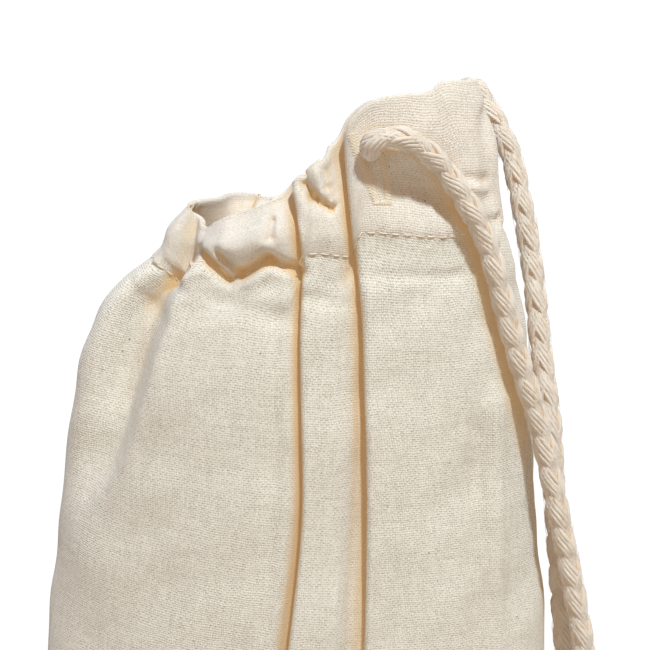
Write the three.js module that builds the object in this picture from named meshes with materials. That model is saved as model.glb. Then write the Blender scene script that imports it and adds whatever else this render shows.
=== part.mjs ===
// A cotton wine bag with a drawstring: one piece of calico, pleated where the string gathers its mouth.
// Millimetres, +Z up. The front faces -Y, the side seam is at +X, and the foot stands on z = 0.
import * as THREE from "three";

// Driving dimensions.
const WALL = 1.3; // the cloth as a solid
const HEM_WALL = 2.1; // the hem around the mouth, where the cloth is double
const HEM = 36; // from the hem's stitches up to the rim
const BODY = 272; // from the hem's stitches down to the foot, along the cloth
const CORD = 6.3; // the braided string's diameter
const FRONT_STEP = 5; // spacing of the mesh's columns on the front
const BACK_STEP = 7; // and on the back
const INSIDE_COLUMNS = 100;
const NATURAL_COTTON = 0xe3d8c3;
const STRING_COTTON = 0xe9dcc6;

// The bag's outline at some heights along the cloth, "at" being 0 at the hem's stitches. Each row has
// the left and right ends (x, z), the front and back (y, z) and how square the left and right halves are.
const SECTION_COLUMNS = ["at", "xl", "zl", "xr", "zr", "yf", "zf", "yb", "zb", "squareLeft", "squareRight"];
const SECTIONS = [
  [-BODY, -62, 0, 62, 0, -27, 0, 27, 0, 2.4, 2.3],
  [-265, -68.5, 4, 68.5, 4, -33, 3.5, 33, 3.5, 2.3, 2.2],
  [-250, -74, 18.5, 74, 19.5, -36.5, 17, 36.5, 17, 2.2, 2.1],
  [-225, -76, 43, 76, 45, -37, 41, 37, 41, 2.1, 2],
  [-180, -75, 88, 74, 91, -34.5, 84, 33.5, 84, 2.1, 1.9],
  [-110, -71.2, 158, 68.9, 161.2, -28.5, 153.5, 25.5, 152, 2.2, 1.8],
  [-72, -66.2, 195.7, 65.6, 199, -26.5, 191.5, 23, 190, 2.3, 1.8],
  [-40, -61.2, 227.3, 63.3, 230.7, -25.5, 223.5, 22, 222, 2.4, 1.85],
  [-20, -56, 246.5, 61.2, 250.6, -24, 243.5, 22, 242, 2.4, 1.9],
  [-9, -48.3, 256.2, 58.5, 261.3, -22.5, 254.5, 22, 252.5, 2.3, 2],
  [0, -40.8, 262, 55.6, 270, -21.5, 263.5, 22.5, 261, 2.2, 2.1],
  [12, -36.9, 267, 54.6, 279, -21.5, 272, 25, 268, 2.1, 2.1],
  [24, -33.7, 272.5, 52.2, 290, -20.5, 280, 25.5, 273, 2, 2],
  [HEM, -29.7, 277, 46.4, 310, -18, 290, 25.5, 278, 1.9, 1.9],
];

// Heights along the rim and along the hem's stitches, by side and x.
const LINE_COLUMNS = ["side", "x", "z"];
const RIM_LINE = [
  ["back", 46.4, 310], ["back", 40, 303.5], ["back", 30, 296], ["back", 18, 288], ["back", 6, 280.5],
  ["back", -8, 275], ["back", -15, 275.6], ["back", -23, 275.8], ["front", -29.7, 277],
  ["front", -26.5, 275.6], ["front", -24, 274.2], ["front", -21, 274], ["front", -17.2, 274.9],
  ["front", -9.6, 277.7], ["front", -2.9, 281.5], ["front", 1.5, 285.4], ["front", 7.5, 289.8],
  ["front", 10.6, 293.4], ["front", 13.5, 298], ["front", 17.5, 302.3], ["front", 22, 305.2],
  ["front", 27, 306.8], ["front", 32.9, 307.2], ["front", 36.7, 310], ["front", 46.4, 310],
];
const STITCH_LINE = [
  ["back", 55.6, 270], ["back", 40, 268], ["back", 20, 262.5], ["back", 0, 259.5], ["back", -20, 258.5],
  ["back", -34, 260], ["front", -40.8, 262], ["front", -36.6, 258.2], ["front", -32.6, 256.2],
  ["front", -29.7, 257.8], ["front", -26, 261.4], ["front", -22.6, 260.6], ["front", -18.4, 258.7],
  ["front", -11.9, 260.6], ["front", -8.3, 263], ["front", -4, 261.8], ["front", 0, 261.6],
  ["front", 3, 264.6], ["front", 7, 264.9],
  ["front", 13.5, 263.6], ["front", 16.1, 270.2], ["front", 26.4, 269.4], ["front", 38.1, 268.4],
  ["front", 46.8, 269.8], ["front", 53.9, 271.5], ["front", 55.6, 270],
];

// The pleats that the string draws in: each has its edge's x and its overlap at the heights FOLD_AT.
const FOLD_AT = [-BODY, -180, -110, -60, -20, 0, HEM];
const FOLD_COLUMNS = ["name", "side", "depth", "x", "overlap"];
const FOLDS = [
  ["back right", "back", 5, [34, 38, 39, 38, 36, 32, 26], [0, 0, 2, 4, 6, 8, 9]],
  ["back middle", "back", 5, [8, 8, 8, 8, 8, 9, 9], [0, 0, 2, 4, 6.5, 8.5, 9]],
  ["back left", "back", 5, [-20, -20, -21, -20, -18, -14, -8], [0, 0, 2, 4, 6, 8, 8]],
  ["front left", "front", 6, [-14, -12, -4.2, 0.9, 0.4, 1.1, -2.5], [0, 2.5, 7, 8.6, 9, 9, 7]],
  ["front right", "front", 6, [10, 12, 15.8, 17.1, 16.7, 14.7, 10.9], [0, 0, 3.5, 8, 11.5, 12.5, 9]],
];

// One pleat across the cloth, from the cloth that runs under it to its own edge, where along is 0.
const PLEAT_COLUMNS = ["share", "along", "out"];
const PLEAT = [
  [0, -0.42, 0], [0.091, -0.17, -0.2], [0.216, 0.14, -0.78], [0.358, 0.65, -1], [0.453, 0.96, -0.93],
  [0.482, 1.02, -0.77], [0.512, 0.98, -0.6], [0.625, 0.6, -0.52], [0.767, 0.12, -0.45], [0.823, 0, -0.2],
  [0.881, 0.1, 0.07], [1, 0.5, 0],
];
const PLEAT_OPENS = 12; // how far an unfolded pleat's cloth spreads
const PLEAT_FADE = 0.45; // how fast its depth goes as it unfolds

// The larger creases and puffs in the cloth, each along a line on the front or the back.
const CREASE_COLUMNS = ["what", "side", "x1", "z1", "x2", "z2", "halfWidth", "out"];
const CREASES = [
  ["puffed hem", "front", -15, 269, -8, 271, 6.5, 5],
  ["dip above it", "front", -14, 274.5, -4, 279, 4, -2.5],
  ["puff at the hem's left end", "front", -37, 269.5, -30.5, 267.5, 3.6, 3.8],
  ["groove under the puff, left", "front", -24, 264, -18, 259, 3.5, -1.8],
  ["groove under the puff, right", "front", -14, 261, -4, 263.5, 3.5, -2.6],
  ["hem between the pleats", "front", 2, 284.5, 8.5, 277, 2.5, -1.2],
  ["dent in the hem, right", "front", 27, 284.5, 39, 284, 8, -2.2],
  ["right side's valley", "front", 52.2, 218.1, 53.2, 165.1, 4.5, -1.8],
  ["back hem, right", "back", 20, 268, 20, 270, 8, 2.4],
  ["back hem, left", "back", -2, 266, -2, 268, 7, 2.4],
  ["back hem, by the string", "back", 42, 280, 42, 282, 7, 1.5],
  ["flared rim at the back", "back", -3, 277, -22, 277, 7, 2.5],
];

// The hollow shoulder: left of the front panel's ridge the cloth falls back, then comes out to the side.
const HOLLOW_COLUMNS = ["at", "ridge", "back"];
const HOLLOW = [
  [-BODY, -60, 0], [-90, -60, 0], [-74, -57, 0], [-66, -53.5, 0.7], [-61.5, -49.4, 1.7], [-55, -45.6, 3.4],
  [-47.5, -42.6, 5.2], [-40, -40.6, 6.9], [-27.5, -36.9, 8.8], [-11.5, -32.5, 9], [0, -28, 6.5], [12, -25, 3.5],
  [HEM, -20, 0.5],
];
const FALL = 0.45; // the share of that side over which the cloth falls
const FALL_MOST = 9;

// The two ends of the string, by hand, from 0.3 mm off the hem where each leaves it.
const CORD_FRONT = [
  [18.3, -21.7, 291.9], [19.4, -25, 294.5], [24.8, -25.4, 296.2], [30.6, -23.8, 293.9], [35.4, -21.4, 290],
  [39.1, -20.2, 285.5], [43, -19.4, 279.7], [46.4, -18.4, 273.9], [49.3, -17.2, 268], [51.8, -16.4, 260],
  [53.3, -15.8, 254.6], [55.7, -15.2, 246], [58.3, -14.4, 237.2], [61.3, -13.4, 228.5], [64.2, -12.6, 219.6],
  [67.9, -12.2, 205], [71.3, -12.2, 190], [75.4, -12, 171], [78.6, -12, 154.2], [79.6, -12, 140],
  [80.6, -11, 120], [81, -10, 102], [81, -10, 84],
];
const CORD_BACK = [
  [33.7, 23.7, 287.2], [35.4, 26.6, 291.8], [39.2, 26.8, 298.8], [43.8, 23, 304.7], [48.4, 17, 306.8],
  [51.6, 15, 302.5], [55.1, 13, 296.3], [57.9, 12, 290.3], [59.5, 11, 284.9], [62, 9, 272.6],
  [64.9, 7, 254.7], [67, 4, 235], [69.6, 0.5, 215.6], [71, -1, 193.9], [72.4, -2, 176.8],
  [73.9, -2, 160.7], [75, -1, 149.9], [76.8, 1, 138], [78.4, 3, 120], [79.2, 4, 104], [79.4, 4, 92],
];

const table = (columns, rows) =>
  rows.map((row) => Object.fromEntries(columns.map((name, i) => [name, row[i]])));

// A smooth line through the points (xs, ys) that never overshoots them.
function curve(xs, ys) {
  const step = xs.slice(1).map((x, i) => x - xs[i]);
  const slope = step.map((h, i) => (ys[i + 1] - ys[i]) / h);
  const lean = ys.map((_, i) => {
    if (i === 0) return slope[0];
    if (i === ys.length - 1) return slope[i - 1];
    if (slope[i - 1] * slope[i] <= 0) return 0;
    const before = 2 * step[i] + step[i - 1];
    const after = step[i] + 2 * step[i - 1];
    return (before + after) / (before / slope[i - 1] + after / slope[i]);
  });
  return (x) => {
    let i = xs.findIndex((limit) => limit > x) - 1;
    if (i === -2) i = xs.length - 2;
    i = Math.max(0, i);
    const t = Math.min(1, Math.max(0, (x - xs[i]) / step[i]));
    const [t2, t3] = [t * t, t * t * t];
    return (
      (2 * t3 - 3 * t2 + 1) * ys[i] + (t3 - 2 * t2 + t) * step[i] * lean[i] +
      (3 * t2 - 2 * t3) * ys[i + 1] + (t3 - t2) * step[i] * lean[i + 1]
    );
  };
}

const sections = table(SECTION_COLUMNS, SECTIONS);
const sectionCurve = Object.fromEntries(
  SECTION_COLUMNS.slice(1).map((name) => [name, curve(sections.map((s) => s.at), sections.map((s) => s[name]))]),
);

// The bag's outline at one height, from the side seam over the back, the left and the front.
function ring(at) {
  const v = Object.fromEntries(Object.entries(sectionCurve).map(([name, f]) => [name, f(at)]));
  const points = [];
  for (let i = 0; i <= 360; i++) {
    const angle = (2 * Math.PI * i) / 360;
    const [c, s] = [Math.cos(angle), Math.sin(angle)];
    const power = 2 / (c > 0 ? v.squareRight : v.squareLeft);
    const x = (v.xl + v.xr) / 2 + ((v.xr - v.xl) / 2) * Math.sign(c) * Math.abs(c) ** power;
    const y = (s < 0 ? -v.yf : v.yb) * Math.sign(s) * Math.abs(s) ** power;
    const middle = (v.zl + v.zr) / 2;
    const z = middle + ((v.zr - v.zl) / 2) * c + ((s < 0 ? v.zf : v.zb) - middle) * s * s;
    points.push({ x, y, z });
  }
  let length = 0;
  points.forEach((p, i) => {
    if (i) length += Math.hypot(p.x - points[i - 1].x, p.y - points[i - 1].y);
    p.along = length;
  });
  return { points, length, at };
}

// The point of an outline at a distance along it from the seam.
function onRing(outline, along) {
  const { points, length } = outline;
  const d = Math.min(length, Math.max(0, along));
  let low = 0;
  let high = points.length - 1;
  while (high - low > 1) {
    const mid = (low + high) >> 1;
    if (points[mid].along <= d) low = mid;
    else high = mid;
  }
  const t = (d - points[low].along) / (points[high].along - points[low].along || 1);
  const mix = (name) => points[low][name] + (points[high][name] - points[low][name]) * t;
  return { x: mix("x"), y: mix("y"), z: mix("z") };
}

// The way out of an outline, level, at a distance along it.
function outward(outline, along) {
  const reach = 0.006 * outline.length;
  const wrap = (d) => (d + outline.length) % outline.length;
  const a = onRing(outline, wrap(along - reach));
  const b = onRing(outline, wrap(along + reach));
  const size = Math.hypot(b.x - a.x, b.y - a.y);
  return { x: (b.y - a.y) / size, y: (a.x - b.x) / size };
}

// How far along an outline its front or its back has this x.
function placeOf(outline, side, x) {
  const { points } = outline;
  const first = side === "front" ? 180 : 0;
  const sign = side === "front" ? 1 : -1;
  for (let i = first; i < first + 180; i++) {
    const [a, b] = [sign * points[i].x, sign * points[i + 1].x];
    if (sign * x <= b) {
      const t = Math.max(0, (sign * x - a) / (b - a || 1));
      return points[i].along + (points[i + 1].along - points[i].along) * t;
    }
  }
  return points[first + 180].along;
}

function heightLine(rows, outline) {
  const marks = table(LINE_COLUMNS, rows);
  return curve(marks.map((m) => placeOf(outline, m.side, m.x) / outline.length), marks.map((m) => m.z));
}

const stitchRing = ring(0);
const rimHeight = heightLine(RIM_LINE, ring(HEM));
const stitchHeight = heightLine(STITCH_LINE, stitchRing);

// The height of the cloth at a distance along an outline.
function heightAt(outline, along) {
  if (outline.at === -BODY) return 0;
  const share = along / outline.length;
  const stitches = stitchHeight(share);
  if (outline.at > 0) return stitches + ((rimHeight(share) - stitches) * outline.at) / HEM;
  const lift = stitches - onRing(stitchRing, share * stitchRing.length).z;
  return onRing(outline, along).z + lift * Math.exp(outline.at / 11);
}

const creases = table(CREASE_COLUMNS, CREASES);
const hollow = table(HOLLOW_COLUMNS, HOLLOW);
const ridgeX = curve(hollow.map((h) => h.at), hollow.map((h) => h.ridge));
const hollowBack = curve(hollow.map((h) => h.at), hollow.map((h) => h.back));
const folds = table(FOLD_COLUMNS, FOLDS);
folds.forEach((fold) => {
  fold.xAt = curve(FOLD_AT, fold.x);
  fold.overlapAt = curve(FOLD_AT, fold.overlap);
  fold.most = Math.max(...fold.overlap);
});

// How far the creases move the cloth out, each fading with the distance from its line.
function creaseOut(outline, along, z) {
  return creases.reduce((sum, crease) => {
    const start = placeOf(outline, crease.side, crease.x1);
    const run = placeOf(outline, crease.side, crease.x2) - start;
    const rise = crease.z2 - crease.z1;
    const part = ((along - start) * run + (z - crease.z1) * rise) / (run * run + rise * rise);
    const t = THREE.MathUtils.clamp(part, 0, 1);
    const away = Math.hypot(along - start - t * run, z - crease.z1 - t * rise) / crease.halfWidth;
    return sum + crease.out * Math.exp(-away * away);
  }, 0);
}

// How far the hollow shoulder falls back; the inside starts to fall a wall's thickness before it.
function fallBack(outline, along, x, before = 0) {
  if (along <= outline.length / 2) return 0;
  const ridge = ridgeX(outline.at) + before;
  const t = (ridge - x) / (ridge - outline.points[180].x);
  const { smoothstep } = THREE.MathUtils;
  return hollowBack(outline.at) * smoothstep(t, 0, FALL) * (1 - smoothstep(t, FALL, 1));
}

// One pleat's columns at one height: how far along the outline and how far out each lies.
function pleat(outline, fold) {
  const overlap = fold.overlapAt(outline.at);
  const closed = overlap / fold.most;
  const edge = placeOf(outline, fold.side, fold.xAt(outline.at));
  return table(PLEAT_COLUMNS, PLEAT).map((p) => ({
    along: edge + overlap * p.along + (1 - closed) * PLEAT_OPENS * (p.share - 0.6),
    out: fold.depth * closed ** PLEAT_FADE * p.out,
  }));
}

// The columns between the pleats, as many at every height.
function runLengths() {
  const outline = ring(-40);
  const marks = [{ from: 0, to: 0 }];
  folds.forEach((fold) => {
    if (fold.side === "front" && marks.at(-1).to < outline.length / 2) {
      marks.push({ from: outline.length / 2, to: outline.length / 2 });
    }
    const columns = pleat(outline, fold);
    marks.push({ from: columns[0].along, to: columns.at(-1).along });
  });
  marks.push({ from: outline.length, to: outline.length });
  return marks.slice(1).map((mark, i) => {
    const step = marks[i].to < outline.length / 2 - 1 ? BACK_STEP : FRONT_STEP;
    return Math.max(2, Math.round((mark.from - marks[i].to) / step));
  });
}

const runs = runLengths();

function outsideColumns(outline) {
  const stops = folds.map((fold) => pleat(outline, fold));
  stops.splice(folds.filter((fold) => fold.side === "back").length, 0, [{ along: outline.length / 2, out: 0 }]);
  stops.push([{ along: outline.length, out: 0 }]);
  const columns = [];
  let last = 0;
  stops.forEach((stop, i) => {
    for (let k = columns.length ? 1 : 0; k < runs[i]; k++) {
      columns.push({ along: last + ((stop[0].along - last) * k) / runs[i], out: 0 });
    }
    if (i < stops.length - 1) columns.push(...stop);
    last = stop.at(-1).along;
  });
  return columns;
}

// The inside keeps a wall's thickness behind the deepest layer near it.
function insideColumns(outline, outside) {
  const wall = outline.at > -2 ? HEM_WALL : WALL;
  return Array.from({ length: INSIDE_COLUMNS }, (_, i) => {
    const along = (outline.length * i) / INSIDE_COLUMNS;
    const deepest = outside.reduce((most, column) => {
      const away = Math.abs(column.along - along);
      const near = Math.min(away, outline.length - away);
      return Math.max(most, -column.out * THREE.MathUtils.clamp((6.4 - near) / 2.4, 0, 1));
    }, 0);
    const fallen = fallBack(outline, along, onRing(outline, along).x) / FALL_MOST;
    return { along, out: -wall * (1 + 0.5 * fallen) - deepest };
  });
}

function placeColumns(outline, columns, before = 0, lift = 0) {
  return columns.map(({ along, out }) => {
    const at = onRing(outline, along);
    const normal = outward(outline, along);
    const z = heightAt(outline, along);
    const total = out + creaseOut(outline, along, z);
    const back = fallBack(outline, along, at.x, before);
    return [at.x + normal.x * total, at.y + normal.y * total + back, z + lift];
  });
}

// Rows of points joined into a skin, with a fan over the last row.
function skin(rows, flip, start) {
  const count = rows[0].length;
  const faces = [];
  const add = (a, b, c) => faces.push(flip ? [a, c, b] : [a, b, c]);
  rows.slice(1).forEach((_, i) => {
    for (let j = 0; j < count; j++) {
      const next = (j + 1) % count;
      const [a, b] = [start + i * count + j, start + i * count + next];
      add(a, a + count, b + count);
      add(a, b + count, b);
    }
  });
  const centre = start + rows.length * count;
  for (let j = 0; j < count; j++) {
    add(centre - count + j, centre, centre - count + ((j + 1) % count));
  }
  return faces;
}

function bagGeometry() {
  const heights = [HEM, 31, 26, 21, 16, 11.5, 7, 3, 0, -3, -7, -13, -21, -31, -41, -51, -62, -80, -110];
  heights.push(-145, -185, -225, -245, -256, -264, -269, -BODY);
  const outlines = heights.map(ring);
  const columns = outlines.map(outsideColumns);
  const outside = outlines.map((outline, i) => placeColumns(outline, columns[i]));
  const inside = outlines.map((outline, i) => {
    const lift = outline.at < -240 ? WALL * THREE.MathUtils.smoothstep(-outline.at, 240, BODY) : 0;
    return placeColumns(outline, insideColumns(outline, columns[i]), HEM_WALL, lift);
  });
  const points = [...outside.flat(), [0, 0, 0]];
  const insideStart = points.length;
  const faces = skin(outside, false, 0);
  points.push(...inside.flat(), [0, 0, WALL]);
  faces.push(...skin(inside, true, insideStart));
  const flat = (row) => row.map((p) => new THREE.Vector2(p[0], p[1]));
  const [outerRim, innerRim] = [flat(outside[0]), flat(inside[0])];
  const rimIndex = (i) => (i < outerRim.length ? i : insideStart + i - outerRim.length);
  faces.push(...THREE.ShapeUtils.triangulateShape(outerRim, [innerRim]).map((f) => f.map(rimIndex)));
  const geometry = new THREE.BufferGeometry();
  geometry.setAttribute("position", new THREE.Float32BufferAttribute(points.flat(), 3));
  geometry.setIndex(faces.flat());
  geometry.computeVertexNormals();
  return geometry;
}

function cordGeometry(route) {
  const path = new THREE.CatmullRomCurve3(route.map((p) => new THREE.Vector3(...p)), false, "centripetal");
  const outline = new THREE.Shape().absarc(0, 0, CORD / 2, 0, 2 * Math.PI);
  const steps = Math.round(path.getLength() / (1.5 * CORD));
  return new THREE.ExtrudeGeometry(outline, { steps, curveSegments: 10, extrudePath: path });
}

function piece(name, geometry, colour) {
  const material = new THREE.MeshStandardMaterial({ color: colour, roughness: 0.95, metalness: 0 });
  const mesh = new THREE.Mesh(geometry, material);
  mesh.name = name;
  return mesh;
}

const bag = new THREE.Group();
bag.add(piece("bag_cloth", bagGeometry(), NATURAL_COTTON));
bag.add(piece("cord_front", cordGeometry(CORD_FRONT), STRING_COTTON));
bag.add(piece("cord_back", cordGeometry(CORD_BACK), STRING_COTTON));

export default bag;
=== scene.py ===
# %% [markdown]
# # A calico wine bag with a drawstring
# This lesson dresses a plain CAD model of a cotton bottle bag in cloth and string. The CAD model
# is loaded first and never changed: it says where everything is, in metres, with +Z up, the
# pleated front towards -Y and the side seam at +X.

# %% Load the CAD frame
import math
import bmesh
import bpy
import numpy as np
from mathutils import Matrix, Vector
from mathutils.bvhtree import BVHTree


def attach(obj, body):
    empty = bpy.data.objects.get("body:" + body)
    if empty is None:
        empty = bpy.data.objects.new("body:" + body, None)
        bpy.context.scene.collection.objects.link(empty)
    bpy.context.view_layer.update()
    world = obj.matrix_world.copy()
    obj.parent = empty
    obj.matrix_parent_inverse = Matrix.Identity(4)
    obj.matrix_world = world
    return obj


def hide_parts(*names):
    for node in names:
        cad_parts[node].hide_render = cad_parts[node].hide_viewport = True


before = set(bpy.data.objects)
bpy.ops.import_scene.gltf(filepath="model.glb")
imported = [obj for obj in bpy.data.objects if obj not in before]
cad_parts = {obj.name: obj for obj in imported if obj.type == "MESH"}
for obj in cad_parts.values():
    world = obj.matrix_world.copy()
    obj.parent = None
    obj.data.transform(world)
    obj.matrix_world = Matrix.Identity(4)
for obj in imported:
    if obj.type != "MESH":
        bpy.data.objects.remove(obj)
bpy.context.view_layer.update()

MM = 0.001

# %% [markdown]
# ## The camera
# The picture was taken from a little above the mouth, close up, with the lower half of the bag
# below the frame. So the camera looks 10 degrees down at a point on the front of the mouth. A lens
# of 88.6 mm on a 36 mm sensor gives 1600 pixels of focal length in a 650-pixel picture.

# %% Camera
LOOKS_AT = Vector((7, -38, 250)) * MM
LOOKS_DOWN = math.radians(10)
DISTANCE = 400 * MM
SENSOR = 36  # mm
PICTURE = 650  # pixels
FOCAL = 1600  # pixels

sight = Vector((0, math.cos(LOOKS_DOWN), -math.sin(LOOKS_DOWN)))
camera_data = bpy.data.cameras.new("camera")
camera_data.sensor_width = SENSOR
camera_data.lens = SENSOR / PICTURE * FOCAL
camera_data.clip_start = 10 * MM
camera = bpy.data.objects.new("camera", camera_data)
camera.location = LOOKS_AT - sight * DISTANCE
camera.rotation_euler = sight.to_track_quat("-Z", "Y").to_euler()
bpy.context.scene.collection.objects.link(camera)
bpy.context.scene.camera = camera
print("camera at", tuple(round(c, 4) for c in camera.location))

# %% [markdown]
# ## The routes of the string
# One string runs round inside the hem, and its two ends come out beside the side seam: one through
# the buttonhole in front, one at the back. Each route starts inside the hem, follows the CAD
# model's own points, and is smoothed by a curve that passes through every one of them.

# %% String routes
FRONT_ROUTE = [
    (18.3, -21.7, 291.9), (19.4, -25, 294.5), (24.8, -25.4, 296.2), (30.6, -23.8, 293.9), (35.4, -21.4, 290),
    (39.1, -20.2, 285.5), (43, -19.4, 279.7), (46.4, -18.4, 273.9), (49.3, -17.2, 268), (51.8, -16.4, 260),
    (53.3, -15.8, 254.6), (55.7, -15.2, 246), (58.3, -14.4, 237.2), (61.3, -13.4, 228.5),
    (64.2, -12.6, 219.6), (67.9, -12.2, 205), (71.3, -12.2, 190), (75.4, -12, 171), (78.6, -12, 154.2),
    (79.6, -12, 140), (80.6, -11, 120), (81, -10, 102), (81, -10, 84),
]
BACK_ROUTE = [
    (33.7, 23.7, 287.2), (35.4, 26.6, 291.8), (39.2, 26.8, 298.8), (43.8, 23, 304.7), (48.4, 17, 306.8),
    (51.6, 15, 302.5), (55.1, 13, 296.3), (57.9, 12, 290.3), (59.5, 11, 284.9), (62, 9, 272.6),
    (64.9, 7, 254.7), (67, 4, 235), (69.6, 0.5, 215.6), (71, -1, 193.9), (72.4, -2, 176.8),
    (73.9, -2, 160.7), (75, -1, 149.9), (76.8, 1, 138), (78.4, 3, 120), (79.2, 4, 104), (79.4, 4, 92),
]


def run_along(points):
    """How far along a line of points each of them lies."""
    return np.concatenate([[0], np.cumsum(np.linalg.norm(np.diff(points, axis=0), axis=1))])


def smooth_route(points, step):
    """Points every step mm on a centripetal Catmull-Rom curve through the given ones."""
    p = np.array(points, float)
    p = np.vstack([2 * p[0] - p[1], p, 2 * p[-1] - p[-2]])
    fine = []
    for a, b, c, d in zip(p, p[1:], p[2:], p[3:]):
        before, here, after = [max(np.linalg.norm(q - r) ** 0.5, 1e-6) for q, r in ((b, a), (c, b), (d, c))]
        lean_b = (b - a) / before - (c - a) / (before + here) + (c - b) / here
        lean_c = (c - b) / here - (d - b) / (here + after) + (d - c) / after
        t = np.linspace(0, 1, 40, endpoint=False)[:, None]
        fine.append((2 * t**3 - 3 * t**2 + 1) * b + (t**3 - 2 * t**2 + t) * lean_b * here
                    + (3 * t**2 - 2 * t**3) * c + (t**3 - t**2) * lean_c * here)
    fine = np.vstack([*fine, p[-2:-1]])
    along = run_along(fine)
    stops = np.linspace(0, along[-1], round(along[-1] / step) + 1)
    return np.stack([np.interp(stops, along, fine[:, i]) for i in range(3)], 1), along[-1]


for name, route in (("front", FRONT_ROUTE), ("back", BACK_ROUTE)):
    print(f"string, {name} end: {smooth_route(route, 1)[1]:.0f} mm")

# %% [markdown]
# ## Threads as thin tubes
# The string's yarns and the sewing threads are the same kind of thing: a round thread along a line
# of points. A curve with a bevel makes each of them, and the whole piece becomes one mesh at once,
# with a UV map that runs along each thread. A finished piece rides on the CAD model's only body.

# %% Threads and pieces
def thread_mesh(name, thickness, lines):
    """One mesh of round threads, from pairs of a line's points in mm and its share of the thickness."""
    curve = bpy.data.curves.new(name, "CURVE")
    curve.dimensions = "3D"
    curve.bevel_depth = thickness / 2 * MM
    curve.bevel_resolution = 1
    curve.use_fill_caps = True
    for line, shares in lines:
        spline = curve.splines.new("POLY")
        spline.points.add(len(line) - 1)
        for spot, place, share in zip(spline.points, line, np.broadcast_to(shares, len(line))):
            spot.co = (*(np.array(place) * MM), 1)
            spot.radius = share
    shape = bpy.data.objects.new(name, curve)
    mesh = bpy.data.meshes.new_from_object(shape)
    bpy.data.objects.remove(shape)
    mesh.name = name
    for face in mesh.polygons:
        face.use_smooth = True
    return mesh


def as_piece(mesh):
    """The mesh as a piece of the bag, linked into the scene and riding on its body."""
    piece = bpy.data.objects.new(mesh.name, mesh)
    bpy.context.scene.collection.objects.link(piece)
    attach(piece, "root")
    return piece


# %% [markdown]
# ## Braiding the string
# This string is an eight-strand round braid of soft cotton yarns. Four strands wind one way and
# four the other, each over two and under two, which gives the rows of V's along it. A bump on a
# plain tube could draw the V's, but only real yarns throw true shadows between the strands. So
# each yarn winds round the route by itself, a little unevenly, because soft yarn is never pulled
# quite tight. Loose fibres stand off such cotton. A few thousand short hairs give the string its
# fuzzy edge.

# %% Braid
STRANDS = 8
YARNS = 4  # in a strand
YARN = 1.25  # a yarn's diameter, mm
LAY = 35  # mm along the string for one whole turn of a strand
CORE = 2.02  # from the string's middle to a yarn's middle, mm
RISE = 0.48  # how far a yarn rises over one strand and dips under the next, mm
FLUFF = 5  # loose fibres on each mm of string
FIBRE = 0.0625  # a loose fibre's diameter, mm, thicker than a real one so that it shows
SKIN = 2.85  # from the string's middle to where the loose fibres leave it, mm


def turning_frame(points):
    """Two directions across the route at each point, carried along it without twisting."""
    ahead = np.gradient(points, axis=0)
    ahead /= np.linalg.norm(ahead, axis=1)[:, None]
    across = [np.cross(ahead[0], (0, 0, 1.0))]
    if np.linalg.norm(across[0]) < 0.1:
        across = [np.cross(ahead[0], (0, 1.0, 0))]
    for a in ahead:
        side = across[-1] - a * np.dot(across[-1], a)
        across.append(side / np.linalg.norm(side))
    across = np.array(across[1:])
    return across, np.cross(ahead, across)


def wander(chance, along, spread, waves):
    """A slow unevenness along the string, from a few waves of random strength."""
    return sum(chance.normal(0, spread) * np.sin(2 * math.pi * along / wave + chance.uniform(0, 6))
               for wave in waves)


def yarn_lines(points, across, up, along, turn, chance):
    """Every yarn of the braid: its points in mm, and how fat it is at each."""
    lines = []
    for way in (1, -1):
        for strand in range(STRANDS // 2):
            middle = way * 2 * math.pi * along / LAY + strand * math.pi / 2 + turn
            lift = way * np.sin(2 * (middle - turn))
            for yarn in range(YARNS):
                angle = middle + (yarn - (YARNS - 1) / 2) * math.pi / 2 / YARNS
                angle = angle + wander(chance, along, 0.035, (7, 13, 29))
                uneven = wander(chance, along, 0.045, (9, 17, 31))
                radius = CORE + RISE * np.clip(1.25 * lift, -1, 1) + uneven
                out = np.cos(angle)[:, None] * across + np.sin(angle)[:, None] * up
                fatness = 1 + 0.09 * np.sin(2 * math.pi * along / 13 + chance.uniform(0, 6))
                lines.append((points + radius[:, None] * out, fatness))
    return lines


def loose_fibres(points, across, up, count, chance):
    """Short fibres that stand off the string, each an arc of four points."""
    lines = []
    for _ in range(count):
        start = chance.integers(2, len(points) - 6)
        angle = chance.uniform(0, 6.28)
        swing = chance.normal(0, 0.5)
        off = chance.uniform(0.15, 0.5)
        line = []
        for k in range(4):
            a = angle + swing * k / 3
            reach = SKIN + off * math.sin(k / 3 * math.pi * 0.8)
            out = math.cos(a) * across[start + k] + math.sin(a) * up[start + k]
            line.append(points[start + k] + reach * out)
        lines.append((line, FIBRE / YARN))
    return lines


def braid(name, route, turn, seed):
    """A braided string along the route, as one mesh of yarns."""
    points, length = smooth_route(route, 0.9)
    across, up = turning_frame(points)
    along = np.linspace(0, length, len(points))
    chance = np.random.default_rng(seed)
    lines = yarn_lines(points, across, up, along, math.radians(turn), chance)
    lines += loose_fibres(points, across, up, int(length * FLUFF), chance)
    piece = as_piece(thread_mesh(name, YARN, lines))
    print(f"{name}: {len(piece.data.polygons)} faces, {length:.0f} mm long")
    return piece


string_front = braid("string_front", FRONT_ROUTE, 110, 1)
string_back = braid("string_back", BACK_ROUTE, 75, 2)
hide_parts("cord_front")
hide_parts("cord_back")

# %% [markdown]
# ## Where the cloth lies
# The bag is one flat sheet of calico wrapped into a tube. "at" is a height on the cloth in mm: 0
# at the hem's row of stitches, 36 at the rim, -272 at the foot. At each height the tube has an
# outline, which is a rounded box with its own width, depth and squareness at the left and the
# right, and which leans, because the bag is higher at the right. The numbers are the CAD model's
# own, so that the sheet lies on its solid, with more small creases than the solid has.

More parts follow.
